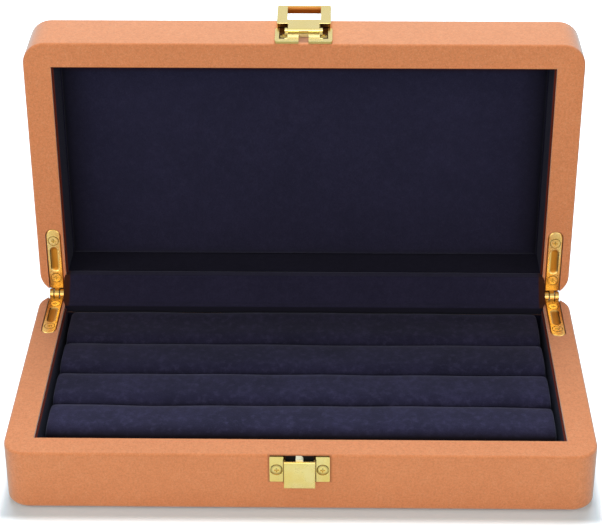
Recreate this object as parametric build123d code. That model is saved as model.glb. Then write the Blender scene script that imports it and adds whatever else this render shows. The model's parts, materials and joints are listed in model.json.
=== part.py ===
from build123d import *
import os

# A suede-wrapped presentation box for rings, standing open on its hinge stops.
# X runs along the length, Y from front to back, Z up. The origin is the centre of the underside.
# Each half is drawn in the half frame: the hinge axis lies in z = 0, the rim faces up and the
# depth runs down. place_base and place_lid carry a piece from there to the box.

# Overall form of the two halves
BOX_WIDTH = 220.0
BOX_DEPTH = 113.5
BASE_SHELL_HEIGHT = 25.0
LID_SHELL_HEIGHT = 25.0
CORNER_RADIUS = 9.0
OUTER_EDGE_RADIUS = 2.0
RIM_EDGE_RADIUS = 1.0
RIM_GAP = 0.2
OPEN_ANGLE = 90.0

# Walls, boards and coverings
SIDE_RIM = 10.9
FRONT_RIM = 10.0
REAR_RIM = 8.4
SUEDE = 0.6
FLOOR_BOARD = 4.0
TOP_BOARD = 4.0
LINING = 0.8
LINING_DROP = 1.3
UNDERSIDE_PANEL = 0.5
UNDERSIDE_INSET = 4.0
UNDERSIDE_CHAMFER = 0.2

# Ring rolls on their tray
ROLL_COUNT = 4
ROLL_SLIT = 0.5
ROLL_TOP_DROP = 2.5
ROLL_CROWN = 0.9
ROLL_SHOULDER = 3.2
ROLL_END_GAP = 2.1
ROLL_END_LENGTH = 4.0
ROLL_END_DRAW = 1.6
ROLL_END_STEPS = (0, 0.15, 0.5, 1)
FRONT_SLOT = 6.5
TRAY_THICKNESS = 1.2
TRAY_GAP = 0.2

# Padded panel inside the lid
PAD_CARD = 1.5
PAD_GAP = 0.5
PAD_THICKNESS = 3.2
PAD_CORNER = 3.0
PAD_ROUNDING = 4.5

# Cloth flap over the rear rims
FLAP_THICKNESS = 0.6
FLAP_SAG = 0.8
FLAP_TAIL = 3.6
FLAP_CLEARANCE = 0.3
FLAP_RECESS = 0.7
FLAP_SIDE_GAP = 0.4

# Hinges: leaves let into the side rims, ears and tongue on one pin, heel as the stop
HINGE_STRIP = 1.0
LEAF_WIDTH = 5.8
LEAF_REACH = 30.5
LEAF_END = 2.5
LEAF_THICKNESS = 1.8
LEAF_SINK = 0.05
LEAF_BEVEL = 0.3
MORTISE_GAP = 0.3
CHANNEL_RADIUS = 2.6
CHANNEL_DEPTH = 0.75
CHANNEL_START = 10.6
CHANNEL_END = 22.4
KNUCKLE_RADIUS = 2.2
KNUCKLE_CLEARANCE = 0.3
TONGUE_WIDTH = 2.0
TONGUE_GAP = 0.3
HEEL_REACH = 1.9
STOP_GAP = 0.1
HINGE_PIN_RADIUS = 0.9
HINGE_PIN_HEAD = 0.1
PIN_SEAT_CLEARANCE = 0.02
PIN_RUNNING_CLEARANCE = 0.06
HINGE_SCREW_NEAR = 7.7
HINGE_SCREW_FAR = 25.2

# Screws
HINGE_SCREW_HEAD = 1.95
HINGE_SCREW_LENGTH = 8.0
CATCH_SCREW_HEAD = 2.1
CLASP_SCREW_HEAD = 1.6
FRONT_SCREW_LENGTH = 6.5
SCREW_SHANK = 1.0
SCREW_CLEARANCE = 0.03
SCREW_RING = 0.3
SCREW_RING_DEPTH = 0.35
SCREW_CROSS_WIDTH = 0.55
SCREW_CROSS_LENGTH = 1.9
SCREW_CROSS_DEPTH = 0.45

# Catch on the front of the base; drops are measured down from the hinge axis plane
CATCH_WIDTH = 22.2
CATCH_TOP_DROP = 0.2
CATCH_BOTTOM_DROP = 11.4
CATCH_THICKNESS = 0.9
CATCH_CORNER = 0.5
CATCH_SCREW_DROP = 6.0
CATCH_SCREW_X = 8.5
CATCH_SCREW_RISE = 0.3
NOSE_WIDTH = 11.7
NOSE_TOP_DROP = 1.1
NOSE_BOTTOM_DROP = 12.9
NOSE_REACH = 3.2
NOSE_WALL = 0.9
NOSE_SIDE_WALL = 0.6
NOSE_EDGE_RADIUS = 0.35
POST_WIDTH = 2.8
POST_RISE = 0.8
POST_ROUNDING = 1.2

# Clasp plate on the front of the lid
PLATE_WIDTH = 22.5
PLATE_START_DROP = 0.8
PLATE_END_DROP = 13.4
PLATE_THICKNESS = 1.15
PLATE_CORNER = 0.8
PLATE_RIM_SIDE = 1.65
PLATE_RIM_FRONT = 2.1
PLATE_RIM_BACK = 1.5
POCKET_FLOOR = 0.45
NOTCH_WIDTH = 3.9
NOTCH_END_DROP = 7.3
CLASP_SCREW_X = 7.95
CLASP_SCREW_DROP = 7.0
CLASP_SCREW_RISE = 0.5

# Swing lever of the clasp, flipped open; lengths run from its pin
LEVER_PIN_DROP = 8.8
LEVER_PIN_OUT = 2.2
LEVER_PIN_RADIUS = 0.5
LEVER_PIN_HEAD = 0.1
LEVER_REST_GAP = 0.1
LEVER_THICKNESS = 3.05
LEVER_BARREL_RADIUS = 0.95
LEVER_TONGUE_WIDTH = 12.3
LEVER_TONGUE_UNDERCUT = 1.2
LEVER_WIDTH = 21.4
LEVER_LEG_GAP = 0.6
LEVER_HEAD_ROOM = 1.4
LEVER_NOSE_GAP = 0.08
LEVER_SIDE_GAP = 0.8
LEVER_BAR = 1.5
LEVER_CORNER = 0.8
LEVER_EDGE_RADIUS = 0.4
EAR_WIDTH = 1.1
EAR_GAP = 0.15
TROUGH_CLEARANCE = 0.15

# Worked out from the above
AXIS_HEIGHT = UNDERSIDE_PANEL + BASE_SHELL_HEIGHT + RIM_GAP / 2
HINGE_Y = BOX_DEPTH / 2
FRONT_Y = -BOX_DEPTH / 2
RIM_LEVEL = -RIM_GAP / 2
INNER_WIDTH = BOX_WIDTH - 2 * SIDE_RIM
INNER_FRONT = FRONT_Y + FRONT_RIM
INNER_REAR = HINGE_Y - REAR_RIM
INNER_DEPTH = INNER_REAR - INNER_FRONT
INNER_Y = (INNER_FRONT + INNER_REAR) / 2
BASE_FLOOR = RIM_LEVEL - BASE_SHELL_HEIGHT + SUEDE + FLOOR_BOARD
LID_FLOOR = RIM_LEVEL - LID_SHELL_HEIGHT + SUEDE + TOP_BOARD
HINGE_X = INNER_WIDTH / 2 + HINGE_STRIP + MORTISE_GAP + LEAF_WIDTH / 2
LEAF_TOP = RIM_LEVEL - LEAF_SINK
LEAF_FLOOR = LEAF_TOP - LEAF_THICKNESS
FLAP_HANG = REAR_RIM + FLAP_THICKNESS / 2
FLAP_FOLD = (2 * FLAP_HANG + FLAP_CLEARANCE) / 4 * 2**0.5 - FLAP_SAG
FLAP_RECESS_LAND = FLAP_FOLD - FLAP_THICKNESS / 2 - FLAP_CLEARANCE
LEVER_TOP_OUT = LEVER_REST_GAP + LEVER_THICKNESS
LEVER_LEG_START = PLATE_END_DROP - LEVER_PIN_DROP + LEVER_LEG_GAP
LEVER_WINDOW_START = LEVER_PIN_DROP + NOSE_TOP_DROP - LEVER_HEAD_ROOM
NOSE_SWING = ((LEVER_PIN_DROP + NOSE_BOTTOM_DROP) ** 2 + (NOSE_REACH - LEVER_PIN_OUT) ** 2) ** 0.5
LEVER_WINDOW_END = NOSE_SWING + LEVER_NOSE_GAP
LEVER_WINDOW_WIDTH = NOSE_WIDTH + 2 * LEVER_SIDE_GAP
CLEAR = 2.0
MIN_CORNER = (Align.CENTER, Align.CENTER, Align.MIN)
FRONT_PLANE = Plane(origin=(0, FRONT_Y, 0), x_dir=(1, 0, 0), z_dir=(0, -1, 0))


def place_base(shape):
    """From the half frame to the base, rim up."""
    return Pos(0, 0, AXIS_HEIGHT) * shape


def place_lid(shape):
    """From the half frame to the lid: turned over onto the base, then opened about the hinge axis."""
    closed = mirror(shape, about=Plane.XY)
    opened = Rot(-OPEN_ANGLE, 0, 0) * Pos(0, -HINGE_Y, 0) * closed
    return Pos(0, HINGE_Y, AXIS_HEIGHT) * opened


def x_rod(radius, x_from, x_to, y, z):
    """A round rod along X between two X values."""
    rod = Rot(0, 90, 0) * Cylinder(radius, x_to - x_from)
    return Pos((x_from + x_to) / 2, y, z) * rod


def x_prism(sketch, x_from, x_to):
    """A profile drawn as (y, z) points, carried along X."""
    plane = Plane(origin=(x_from, 0, 0), x_dir=(0, 1, 0), z_dir=(1, 0, 0))
    return extrude(plane * sketch, x_to - x_from)


def front_prism(sketch, out_from, out_to):
    """A profile drawn as (x, -drop) points on the front face, carried outwards."""
    return extrude(FRONT_PLANE.offset(out_from) * sketch, out_to - out_from)


def front_rectangle(width, start_drop, end_drop, centre=0.0):
    """A rectangle on the front face between two drops."""
    height = end_drop - start_drop
    return Pos(centre, -(start_drop + end_drop) / 2) * Rectangle(width, height)


def pair(shape):
    """The piece and its mirror image across the box's middle plane."""
    return [shape, mirror(shape, about=Plane.YZ)]


# Shells, boards and coverings


def half_form(height, inset):
    """One half's outer form drawn in by inset: rounded edges outside, one bevel on the boards within."""
    bottom = RIM_LEVEL - height + inset
    plan = RectangleRounded(BOX_WIDTH - 2 * inset, BOX_DEPTH - 2 * inset, CORNER_RADIUS - inset)
    form = extrude(Pos(0, 0, bottom) * plan, height - 2 * inset)
    if inset:
        return chamfer(form.faces().sort_by(Axis.Z)[0].edges(), OUTER_EDGE_RADIUS / 2)
    form = fillet(form.faces().sort_by(Axis.Z)[0].edges(), OUTER_EDGE_RADIUS)
    return fillet(form.faces().sort_by(Axis.Z)[-1].edges(), RIM_EDGE_RADIUS)


def cavity(outset, floor):
    """The space between the rims, widened by outset, from floor up through the rim."""
    space = Box(INNER_WIDTH + 2 * outset, INNER_DEPTH + 2 * outset, CLEAR - floor, align=MIN_CORNER)
    return Pos(0, INNER_Y, floor) * space


def flap_step(inset):
    """The shallow step in the rear rim where the folded flap lies."""
    front = INNER_REAR - CLEAR
    rear = HINGE_Y - FLAP_RECESS_LAND + inset
    floor = RIM_LEVEL - FLAP_RECESS - inset
    step = Box(INNER_WIDTH + 2 * inset, rear - front, CLEAR - floor, align=MIN_CORNER)
    return Pos(0, (front + rear) / 2, floor) * step


def leaf_plan(grow, rear):
    """A hinge leaf's plan: straight sides and a full round at its far end, widened by grow."""
    far = HINGE_Y - LEAF_REACH + LEAF_WIDTH / 2
    radius = LEAF_WIDTH / 2 + grow
    straight = Pos(0, (far + rear) / 2) * Rectangle(2 * radius, rear - far)
    return straight + Pos(0, far) * Circle(radius)


def hinge_room(heel_sweep):
    """What one hinge takes out of a half: the leaf's mortise, the knuckle's bed and the screw holes."""
    mortise = extrude(Pos(0, 0, LEAF_FLOOR) * leaf_plan(MORTISE_GAP, HINGE_Y + CLEAR), CLEAR - LEAF_FLOOR)
    half_bed = LEAF_WIDTH / 2 + MORTISE_GAP
    room = [mortise, x_rod(KNUCKLE_RADIUS + KNUCKLE_CLEARANCE, -half_bed, half_bed, HINGE_Y, 0)]
    if heel_sweep:
        corner = (HEEL_REACH**2 + (LEAF_END - STOP_GAP) ** 2) ** 0.5
        half_slot = TONGUE_WIDTH / 2 + TONGUE_GAP
        room.append(x_rod(corner + STOP_GAP, -half_slot, half_slot, HINGE_Y, 0))
    hole = Cylinder(SCREW_SHANK + SCREW_CLEARANCE, HINGE_SCREW_LENGTH + CLEAR)
    for reach in (HINGE_SCREW_NEAR, HINGE_SCREW_FAR):
        room.append(Pos(0, HINGE_Y - reach, LEAF_TOP - (HINGE_SCREW_LENGTH - CLEAR) / 2) * hole)
    return [side for piece in room for side in pair(Pos(HINGE_X, 0, 0) * piece)]


def front_screw_room(x, drop):
    """The two screw holes that a plate on the front face needs behind it."""
    hole = Rot(90, 0, 0) * Cylinder(SCREW_SHANK + SCREW_CLEARANCE, 2 * FRONT_SCREW_LENGTH)
    return pair(Pos(x, FRONT_Y, -drop) * hole)


def rooms(is_base):
    """Everything that the fittings take out of a half's boards and covering."""
    if is_base:
        return hinge_room(True) + front_screw_room(CATCH_SCREW_X, CATCH_SCREW_DROP)
    return hinge_room(False) + front_screw_room(CLASP_SCREW_X, CLASP_SCREW_DROP)


def suede_wrap(height, floor, is_base):
    """The covering: over the outside, the rim and the inner walls, one thickness everywhere."""
    outside = half_form(height, 0) - cavity(0, floor) - flap_step(0)
    wrap = outside - (half_form(height, SUEDE) - cavity(SUEDE, floor) - flap_step(SUEDE))
    for room in rooms(is_base):
        wrap -= room
    return wrap


def wall_boards(height, is_base):
    """The four wall boards, side boards running the full depth and the others fitted between them."""
    ring = half_form(height, SUEDE) - cavity(SUEDE, RIM_LEVEL - height - CLEAR) - flap_step(SUEDE)
    ring -= rooms(is_base)
    seam = INNER_WIDTH / 2 + SUEDE
    tall = 3 * height
    between = Box(2 * seam, BOX_DEPTH, tall)
    outboard = Box(BOX_WIDTH, BOX_DEPTH, tall)
    boards = {
        "front_board": ring & between & Pos(0, -BOX_DEPTH / 2, 0) * between,
        "rear_board": ring & between & Pos(0, BOX_DEPTH / 2, 0) * between,
        "left_board": ring & Pos(-seam - BOX_WIDTH / 2, 0, 0) * outboard,
        "right_board": ring & Pos(seam + BOX_WIDTH / 2, 0, 0) * outboard,
    }
    return boards


def flat_board(floor, thickness):
    """The board that closes a half, fitted between its wall boards."""
    board = Box(INNER_WIDTH + 2 * SUEDE, INNER_DEPTH + 2 * SUEDE, thickness, align=MIN_CORNER)
    return Pos(0, INNER_Y, floor - thickness) * board


def wall_lining(floor):
    """The cloth-covered card round the inner walls, lower at the rear for the flap's tail."""
    top = RIM_LEVEL - LINING_DROP
    sleeve = Pos(0, INNER_Y, floor) * Box(INNER_WIDTH, INNER_DEPTH, top - floor, align=MIN_CORNER)
    sleeve -= cavity(-LINING, floor - CLEAR)
    drop = FLAP_TAIL + FLAP_CLEARANCE
    room = max(LINING, FLAP_THICKNESS + 2 * FLAP_CLEARANCE)
    tail_room = Box(INNER_WIDTH, 2 * room, CLEAR + drop, align=MIN_CORNER)
    return sleeve - Pos(0, INNER_REAR, -drop) * tail_room


def underside_panel():
    """The covered panel that the box stands on, glued under the shell."""
    shell_bottom = RIM_LEVEL - BASE_SHELL_HEIGHT
    plan = RectangleRounded(
        BOX_WIDTH - 2 * UNDERSIDE_INSET, BOX_DEPTH - 2 * UNDERSIDE_INSET, CORNER_RADIUS - UNDERSIDE_INSET
    )
    panel = extrude(Pos(0, 0, shell_bottom - UNDERSIDE_PANEL) * plan, UNDERSIDE_PANEL)
    return chamfer(panel.faces().sort_by(Axis.Z)[0].edges(), UNDERSIDE_CHAMFER)


# Soft insides


def roll_profile(width, height):
    """A roll's section: flat foot, upright sides, rounded shoulders and a crowned top."""
    half = width / 2
    side = height - ROLL_CROWN
    foot = Polyline((-half, side), (-half, 0), (half, 0), (half, side))
    crown = ThreePointArc((half, side), (0, height), (-half, side))
    face = make_face(foot + crown)
    return fillet(face.vertices().sort_by(Axis.Y)[-2:], ROLL_SHOULDER)


def ring_roll(width, height, length):
    """A ring roll along X: full over its length, rounded down and drawn in over its two ends."""
    stations = []
    for step in ROLL_END_STEPS:
        draw = ROLL_END_DRAW * (1 - (1 - (1 - step) ** 2) ** 0.5)
        stations.append((length / 2 - step * ROLL_END_LENGTH, draw))
    stations = [(-x, draw) for x, draw in stations] + stations[::-1]
    sections = []
    for x, draw in stations:
        plane = Plane(origin=(x, 0, 0), x_dir=(0, 1, 0), z_dir=(1, 0, 0))
        sections.append(plane * roll_profile(width - draw, height - draw))
    return loft(sections, ruled=True)


def roll_tray():
    """The covered card that carries the rolls, laid on the floor board."""
    width = INNER_WIDTH - 2 * LINING - 2 * TRAY_GAP
    depth = INNER_DEPTH - 2 * LINING - 2 * TRAY_GAP
    return Pos(0, INNER_Y, BASE_FLOOR) * Box(width, depth, TRAY_THICKNESS, align=MIN_CORNER)


def ring_rolls():
    """The rolls from the rear to the front, leaving the open slot along the front wall."""
    foot = BASE_FLOOR + TRAY_THICKNESS
    height = RIM_LEVEL - ROLL_TOP_DROP - foot
    pitch = (INNER_DEPTH - 2 * LINING - FRONT_SLOT) / ROLL_COUNT
    length = INNER_WIDTH - 2 * LINING - 2 * ROLL_END_GAP
    roll = ring_roll(pitch - ROLL_SLIT, height, length)
    rear = INNER_REAR - LINING
    return [Pos(0, rear - (index + 0.5) * pitch, foot) * roll for index in range(ROLL_COUNT)]


def lid_pad():
    """The padded ceiling panel: a crowned pad whose rounded sides stand on its card."""
    foot = LID_FLOOR + PAD_CARD
    width = INNER_WIDTH - 2 * LINING - 2 * PAD_GAP
    depth = INNER_DEPTH - 2 * LINING - 2 * PAD_GAP
    levels = [(0, 0), (0.5, 0.06), (0.85, 0.35), (1, 1)]
    sections = []
    for rise, draw in levels:
        inset = draw * PAD_ROUNDING
        outline = RectangleRounded(width - 2 * inset, depth - 2 * inset, PAD_CORNER)
        sections.append(Pos(0, INNER_Y, foot + rise * PAD_THICKNESS) * outline)
    return loft(sections, ruled=True)


def pad_card():
    """The stiff card behind the padded panel."""
    card = Box(INNER_WIDTH - 2 * LINING, INNER_DEPTH - 2 * LINING, PAD_CARD, align=MIN_CORNER)
    return Pos(0, INNER_Y, LID_FLOOR) * card


def flap_edge(offset):
    """One face of the flap in the open box, as (y, z): tail up the base wall, sag, tail into the lid."""
    hang = offset - FLAP_HANG
    rise = FLAP_HANG + FLAP_CLEARANCE - offset
    middle = (offset - FLAP_FOLD) / 2**0.5
    tail_end = -FLAP_TAIL
    start = (HINGE_Y + hang, RIM_LEVEL)
    end = (HINGE_Y - RIM_LEVEL, rise)
    low = Line((HINGE_Y + hang, tail_end), start)
    curve = ThreePointArc(start, (HINGE_Y + middle, -middle), end)
    high = Line(end, (HINGE_Y - tail_end, rise))
    return low + curve + high


def rear_flap():
    """The cloth that bridges the rear rims inside the box, standing in the open box."""
    front = flap_edge(-FLAP_THICKNESS / 2)
    back = flap_edge(FLAP_THICKNESS / 2)
    foot = Line(front @ 0, back @ 0)
    tip = Line(front @ 1, back @ 1)
    face = make_face(front.edges() + back.edges() + [foot.edge(), tip.edge()])
    half = INNER_WIDTH / 2 - FLAP_SIDE_GAP
    return x_prism(face, -half, half)


# Hinges


def head_depth(head_radius, plate):
    """The depth of a countersunk head: its cone at 45 degrees, or as deep as its plate is thick."""
    return min(head_radius - SCREW_SHANK, plate)


def screw(head_radius, plate, rise, length):
    """A countersunk cross-head screw pointing down, its head's rim at z = 0, in a plate."""
    cone = head_depth(head_radius, plate)
    rim = Line((SCREW_SHANK, -cone), (head_radius, 0))
    if rise:
        crown = ThreePointArc((head_radius, 0), (head_radius * 0.55, rise * 0.75), (0, rise))
    else:
        crown = Line((head_radius, 0), (0, 0))
    shank = Polyline((0, rise), (0, -length), (SCREW_SHANK, -length), (SCREW_SHANK, -cone))
    turned = revolve(Plane.XZ * make_face(rim + crown + shank), Axis.Z)
    for angle in (0, 90):
        slot = Box(SCREW_CROSS_LENGTH, SCREW_CROSS_WIDTH, 2 * SCREW_CROSS_DEPTH)
        turned -= Pos(0, 0, rise) * Rot(0, 0, angle) * slot
    return turned


def screw_seat(head_radius, plate):
    """What a countersunk screw takes out of its plate, with a shallow ring round the head."""
    hole = Cylinder(SCREW_SHANK + SCREW_CLEARANCE, 2 * plate + CLEAR)
    height = head_depth(head_radius, plate)
    seat = Cone(SCREW_SHANK, head_radius, height, align=(Align.CENTER, Align.CENTER, Align.MAX))
    ring = Cylinder(head_radius + SCREW_RING, 2 * min(SCREW_RING_DEPTH, plate / 2))
    return hole + seat + ring


def leaf_blank():
    """A hinge leaf before its knuckle: bevelled top, round channel between its two countersinks."""
    leaf = extrude(Pos(0, 0, LEAF_FLOOR) * leaf_plan(0, HINGE_Y - LEAF_END), LEAF_THICKNESS)
    leaf = chamfer(leaf.faces().sort_by(Axis.Z)[-1].edges(), LEAF_BEVEL)
    run_out = (2 * CHANNEL_RADIUS * CHANNEL_DEPTH - CHANNEL_DEPTH**2) ** 0.5
    straight = CHANNEL_END - CHANNEL_START - 2 * run_out
    scoop = Rot(90, 0, 0) * Cylinder(CHANNEL_RADIUS, straight)
    scoop += Pos(0, straight / 2, 0) * Sphere(CHANNEL_RADIUS) + Pos(0, -straight / 2, 0) * Sphere(CHANNEL_RADIUS)
    leaf -= Pos(0, HINGE_Y - (CHANNEL_START + CHANNEL_END) / 2, LEAF_TOP + CHANNEL_RADIUS - CHANNEL_DEPTH) * scoop
    for reach in (HINGE_SCREW_NEAR, HINGE_SCREW_FAR):
        leaf -= Pos(0, HINGE_Y - reach, LEAF_TOP) * screw_seat(HINGE_SCREW_HEAD, LEAF_THICKNESS)
    return leaf


def knuckle(x_from, x_to, bore_clearance, heel):
    """An ear or tongue round the hinge pin, with its arm to the leaf and the tongue's square heel."""
    arm = Polyline(
        (HINGE_Y - LEAF_END - LEAF_BEVEL, LEAF_FLOOR), (HINGE_Y, LEAF_FLOOR), (HINGE_Y, LEAF_TOP - LEAF_BEVEL),
        (HINGE_Y - LEAF_END - LEAF_BEVEL, LEAF_TOP - LEAF_BEVEL), close=True,
    )
    body = x_prism(make_face(arm), x_from, x_to) + x_rod(KNUCKLE_RADIUS, x_from, x_to, HINGE_Y, 0)
    if heel:
        reach = LEAF_END - STOP_GAP
        block = Box(x_to - x_from, HEEL_REACH, reach, align=(Align.CENTER, Align.MIN, Align.MIN))
        body += Pos((x_from + x_to) / 2, HINGE_Y, 0) * block
    bore = x_rod(HINGE_PIN_RADIUS + bore_clearance, x_from - CLEAR, x_to + CLEAR, HINGE_Y, 0)
    return body - bore


def base_leaf():
    """The leaf let into the base rim, with two ears."""
    inner = TONGUE_WIDTH / 2 + TONGUE_GAP
    outer = LEAF_WIDTH / 2
    ears = knuckle(inner, outer, PIN_SEAT_CLEARANCE, False) + knuckle(-outer, -inner, PIN_SEAT_CLEARANCE, False)
    return leaf_blank() + ears


def lid_leaf():
    """The leaf let into the lid rim, with the tongue whose heel stops the lid."""
    return leaf_blank() + knuckle(-TONGUE_WIDTH / 2, TONGUE_WIDTH / 2, PIN_RUNNING_CLEARANCE, True)


def hinge_pin():
    """The pin through ears and tongue, its ends domed over the ears."""
    half = LEAF_WIDTH / 2 + HINGE_PIN_HEAD
    pin = x_rod(HINGE_PIN_RADIUS, -half, half, HINGE_Y, 0)
    return chamfer(pin.edges().filter_by(GeomType.CIRCLE), HINGE_PIN_HEAD)


def hinge_screws():
    """The two screws of each leaf, for both hinges of one half."""
    driven = screw(HINGE_SCREW_HEAD, LEAF_THICKNESS, 0, HINGE_SCREW_LENGTH)
    screws = []
    for reach in (HINGE_SCREW_NEAR, HINGE_SCREW_FAR):
        screws += pair(Pos(HINGE_X, HINGE_Y - reach, LEAF_TOP) * driven)
    return screws


# Catch and clasp on the front faces


def front_screws(x, drop, out, head_radius, rise):
    """A pair of screws driven into the front face through a plate."""
    driven = Rot(90, 0, 0) * screw(head_radius, out, rise, FRONT_SCREW_LENGTH)
    return pair(Pos(x, FRONT_Y - out, -drop) * driven)


def front_seats(x, drop, out, head_radius):
    """The countersinks of a pair of screws in a plate on the front face."""
    return pair(Pos(x, FRONT_Y - out, -drop) * Rot(90, 0, 0) * screw_seat(head_radius, out))


def catch_plate():
    """The catch: a flat plate and a hollow nose, open above, with a post between its two slots."""
    outline = front_rectangle(CATCH_WIDTH, CATCH_TOP_DROP, CATCH_BOTTOM_DROP)
    plate = front_prism(fillet(outline.vertices(), CATCH_CORNER), 0, CATCH_THICKNESS)
    nose = front_prism(front_rectangle(NOSE_WIDTH, NOSE_TOP_DROP, NOSE_BOTTOM_DROP), 0, NOSE_REACH)
    nose = fillet(nose.faces().sort_by(Axis.Y)[0].edges(), NOSE_EDGE_RADIUS)
    clearing = front_rectangle(NOSE_WIDTH - 2 * NOSE_SIDE_WALL, 0, NOSE_BOTTOM_DROP - NOSE_WALL)
    post = front_rectangle(POST_WIDTH, NOSE_TOP_DROP - POST_RISE, NOSE_BOTTOM_DROP)
    post = fillet(post.vertices().sort_by(Axis.Z)[-2:], POST_ROUNDING)
    plate = plate + nose - front_prism(clearing, -CLEAR, NOSE_REACH - NOSE_WALL)
    plate += front_prism(post, 0, NOSE_REACH - NOSE_WALL)
    return plate - front_seats(CATCH_SCREW_X, CATCH_SCREW_DROP, CATCH_THICKNESS, CATCH_SCREW_HEAD)


def clasp_ears():
    """The two ears of the clasp plate that carry the lever's pin."""
    inner = LEVER_TONGUE_WIDTH / 2 + EAR_GAP
    outer = inner + EAR_WIDTH
    y = FRONT_Y - LEVER_PIN_OUT
    ear = x_rod(LEVER_BARREL_RADIUS, inner, outer, y, -LEVER_PIN_DROP)
    web = Box(EAR_WIDTH, LEVER_PIN_OUT, 2 * LEVER_BARREL_RADIUS, align=(Align.MIN, Align.MAX, Align.CENTER))
    ear += Pos(inner, FRONT_Y, -LEVER_PIN_DROP) * web
    bore = x_rod(LEVER_PIN_RADIUS + PIN_SEAT_CLEARANCE, inner - CLEAR, outer + CLEAR, y, -LEVER_PIN_DROP)
    return pair(ear - bore)


def clasp_plate():
    """The plate of the clasp: notched at the rim, a screw pocket each side and a trough for the lever."""
    outline = front_rectangle(PLATE_WIDTH, PLATE_START_DROP, PLATE_END_DROP)
    notch = front_rectangle(NOTCH_WIDTH, PLATE_START_DROP - CLEAR, NOTCH_END_DROP)
    notch = fillet(notch.vertices().sort_by(Axis.Y)[:2], PLATE_CORNER)
    plate = front_prism(fillet(outline.vertices(), PLATE_CORNER) - notch, 0, PLATE_THICKNESS)
    inner = LEVER_TONGUE_WIDTH / 2 + EAR_GAP
    outer = PLATE_WIDTH / 2 - PLATE_RIM_SIDE
    pocket = front_rectangle(
        outer - inner, PLATE_START_DROP + PLATE_RIM_FRONT, PLATE_END_DROP - PLATE_RIM_BACK, (inner + outer) / 2
    )
    for side in pair(front_prism(pocket, POCKET_FLOOR, PLATE_THICKNESS + CLEAR)):
        plate -= side
    trough = LEVER_BARREL_RADIUS + TROUGH_CLEARANCE
    plate -= x_rod(trough, -inner, inner, FRONT_Y - LEVER_PIN_OUT, -LEVER_PIN_DROP)
    for ear in clasp_ears():
        plate += ear
    return plate - front_seats(CLASP_SCREW_X, CLASP_SCREW_DROP, POCKET_FLOOR, CLASP_SCREW_HEAD)


def clasp_pin():
    """The lever's pin, across both ears."""
    half = LEVER_TONGUE_WIDTH / 2 + EAR_GAP + EAR_WIDTH + LEVER_PIN_HEAD
    pin = x_rod(LEVER_PIN_RADIUS, -half, half, FRONT_Y - LEVER_PIN_OUT, -LEVER_PIN_DROP)
    return chamfer(pin.edges().filter_by(GeomType.CIRCLE), LEVER_PIN_HEAD)


def lever_reach(width, start, end):
    """A rectangle of the lever's plan between two distances from its pin."""
    return front_rectangle(width, LEVER_PIN_DROP + start, LEVER_PIN_DROP + end)


def clasp_lever():
    """The swing lever: a tongue on the pin, widening into a frame round an open window."""
    frame = lever_reach(LEVER_WIDTH, LEVER_LEG_START, LEVER_WINDOW_END + LEVER_BAR)
    frame = fillet(frame.vertices(), LEVER_CORNER)
    bow = front_prism(frame, LEVER_REST_GAP, LEVER_TOP_OUT)
    bow = fillet(bow.faces().sort_by(Axis.Y)[0].edges(), LEVER_EDGE_RADIUS)
    tongue = lever_reach(LEVER_TONGUE_WIDTH, 0, LEVER_WINDOW_START)
    lever = bow + front_prism(tongue, LEVER_REST_GAP + LEVER_TONGUE_UNDERCUT, LEVER_TOP_OUT)
    half = LEVER_TONGUE_WIDTH / 2
    y = FRONT_Y - LEVER_PIN_OUT
    lever += x_rod(LEVER_BARREL_RADIUS, -half, half, y, -LEVER_PIN_DROP)
    lever -= x_rod(LEVER_PIN_RADIUS + PIN_RUNNING_CLEARANCE, -half - CLEAR, half + CLEAR, y, -LEVER_PIN_DROP)
    window = lever_reach(LEVER_WINDOW_WIDTH, LEVER_WINDOW_START, LEVER_WINDOW_END)
    return lever - front_prism(window, -CLEAR, LEVER_TOP_OUT + CLEAR)


# The assembly


def base_nodes():
    """Every piece of the base in the half frame."""
    nodes = {"base_" + name: board for name, board in wall_boards(BASE_SHELL_HEIGHT, True).items()}
    nodes["base_floor_board"] = flat_board(BASE_FLOOR, FLOOR_BOARD)
    nodes["base_suede"] = suede_wrap(BASE_SHELL_HEIGHT, BASE_FLOOR, True)
    nodes["underside_panel"] = underside_panel()
    nodes["base_wall_lining"] = wall_lining(BASE_FLOOR)
    nodes["roll_tray"] = roll_tray()
    for number, roll in enumerate(ring_rolls(), start=1):
        nodes[f"ring_roll_{number}"] = roll
    nodes["rear_flap"] = rear_flap()
    nodes["right_hinge_base_leaf"], nodes["left_hinge_base_leaf"] = pair(Pos(HINGE_X, 0, 0) * base_leaf())
    nodes["right_hinge_pin"], nodes["left_hinge_pin"] = pair(Pos(HINGE_X, 0, 0) * hinge_pin())
    nodes["base_hinge_screws"] = hinge_screws()
    nodes["catch_plate"] = catch_plate()
    nodes["catch_screws"] = front_screws(
        CATCH_SCREW_X, CATCH_SCREW_DROP, CATCH_THICKNESS, CATCH_SCREW_HEAD, CATCH_SCREW_RISE
    )
    return nodes


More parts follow.
